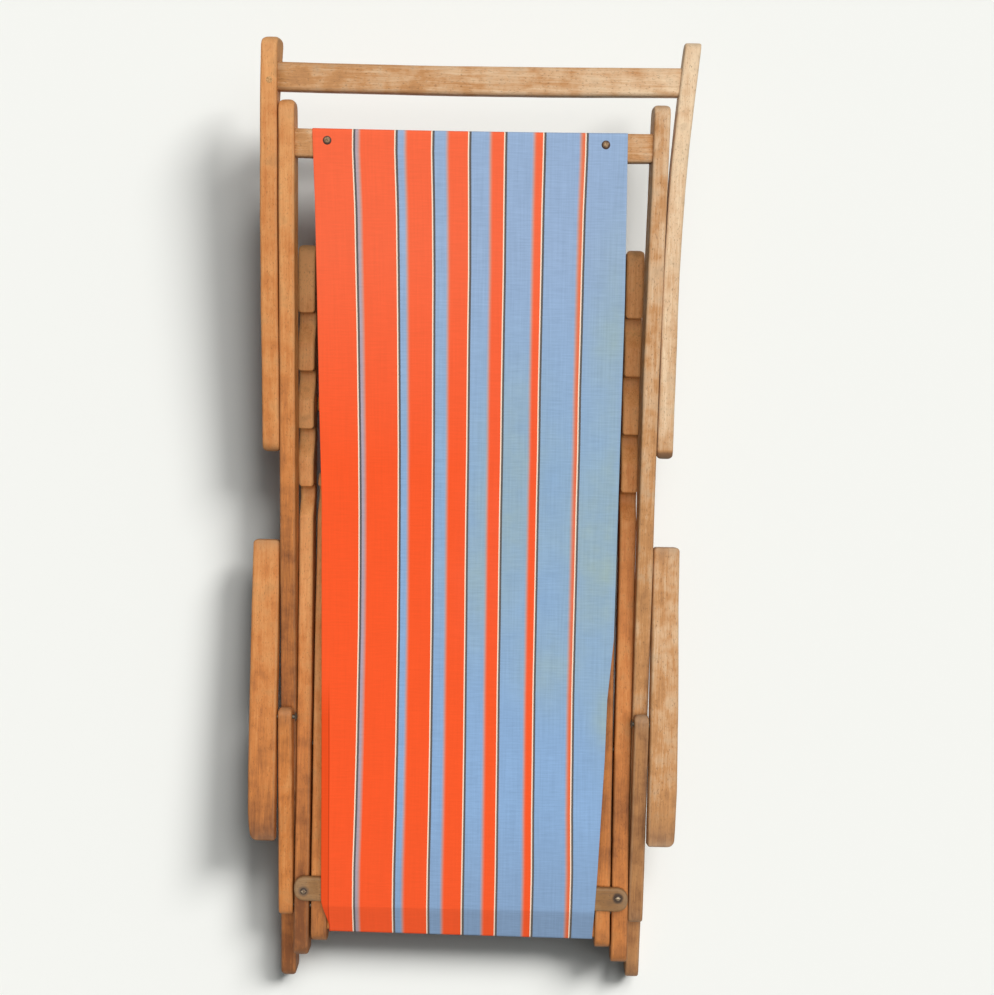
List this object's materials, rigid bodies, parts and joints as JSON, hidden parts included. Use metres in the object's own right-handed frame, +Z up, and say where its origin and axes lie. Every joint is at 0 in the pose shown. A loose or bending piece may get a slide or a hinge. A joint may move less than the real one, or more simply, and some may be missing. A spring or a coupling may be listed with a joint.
{
  "type": "folding deck chair",
  "caption": "Folding wooden deck chair with armrests and a striped canvas sling, stored folded flat on its back.",
  "frame": {"origin": "middle of the folded chair's footprint, on the floor that it lies on", "axes": "+Y from the feet to the head end, +Z up from the floor out of the sitter's side of the canvas, +X to the right in the front view"},
  "size_m": [0.628, 1.372, 0.1218],
  "materials": {
    "beech": "worn varnish over beech, straight fine grain",
    "pale_beech": "paler worn beech, straight fine grain",
    "grey_wood": "weathered, greyed beech without varnish",
    "striped_canvas": "faded woven stripes of orange red, blue, cream and dark grey",
    "dark_metal": "tarnished, almost black with brown highlights",
    "old_steel": "dull plain steel"
  },
  "bodies": {
    "back_frame": {"back_stile_left": "beech", "back_stile_right": "pale_beech", "head_rail": "beech", "foot_rail": "beech", "head_rail_pegs": "pale_beech", "foot_rail_pegs": "pale_beech", "canvas": "striped_canvas", "canvas_nails": "dark_metal", "head_tacks": "dark_metal", "crossing_bolts": "old_steel", "crossing_spacers": "old_steel", "crossing_washers": "old_steel", "crossing_nuts": "old_steel"},
    "seat_frame": {"seat_stile_left": "beech", "seat_stile_right": "pale_beech", "seat_spreader": "beech", "spreader_pegs": "pale_beech", "knee_lath": "grey_wood", "lath_screws": "old_steel", "canvas_stile_left": "beech", "canvas_stile_right": "pale_beech", "canvas_rail": "beech", "canvas_rail_pegs": "pale_beech", "knee_tacks": "dark_metal", "post_bolts": "old_steel", "post_washers": "old_steel", "post_nuts": "old_steel"},
    "strut": {"strut_stile_left": "beech", "strut_stile_right": "pale_beech", "strut_rail": "beech", "strut_pegs": "pale_beech", "strut_bolts": "old_steel", "strut_washers": "old_steel", "strut_nuts": "old_steel"},
    "arm_left": {"armrest_left": "beech", "arm_screws_left": "old_steel", "arm_spacers_left": "old_steel"},
    "arm_right": {"armrest_right": "pale_beech", "arm_screws_right": "old_steel", "arm_spacers_right": "old_steel"},
    "arm_post_left": {"post_left": "beech"},
    "arm_post_right": {"post_right": "pale_beech"}
  },
  "joints": [
    {"name": "seat_hinge", "type": "hinge", "parent": "back_frame", "child": "seat_frame", "pos_m": [0, -0.32578, 0.04069], "axis": [-1, 0, 0], "range_deg": [0, 73.73], "deforming": ["canvas"]},
    {"name": "strut_hinge", "type": "hinge", "parent": "back_frame", "child": "strut", "pos_m": [0, 0.12523, 0.07059], "axis": [-1, 0, 0], "range_deg": [0, 135.62]},
    {"name": "arm_left_hinge", "type": "hinge", "parent": "back_frame", "child": "arm_left", "pos_m": [-0.2905, -0.03542, 0.05994], "axis": [-1, 0, 0], "range_deg": [0, 73.73]},
    {"name": "post_left_hinge", "type": "hinge", "parent": "seat_frame", "child": "arm_post_left", "pos_m": [-0.25795, -0.56949, 0.0539], "axis": [-1, 0, 0], "range_deg": [-73.73, 0]},
    {"name": "arm_right_hinge", "type": "hinge", "parent": "back_frame", "child": "arm_right", "pos_m": [0.2905, -0.03542, 0.05994], "axis": [-1, 0, 0], "range_deg": [0, 73.73]},
    {"name": "post_right_hinge", "type": "hinge", "parent": "seat_frame", "child": "arm_post_right", "pos_m": [0.25795, -0.56949, 0.0539], "axis": [-1, 0, 0], "range_deg": [-73.73, 0]}
  ],
  "couplings": [
    {"joint": "arm_left_hinge", "follows": "seat_hinge", "ratio": 1},
    {"joint": "post_left_hinge", "follows": "seat_hinge", "ratio": -1},
    {"joint": "arm_right_hinge", "follows": "seat_hinge", "ratio": 1},
    {"joint": "post_right_hinge", "follows": "seat_hinge", "ratio": -1}
  ]
}
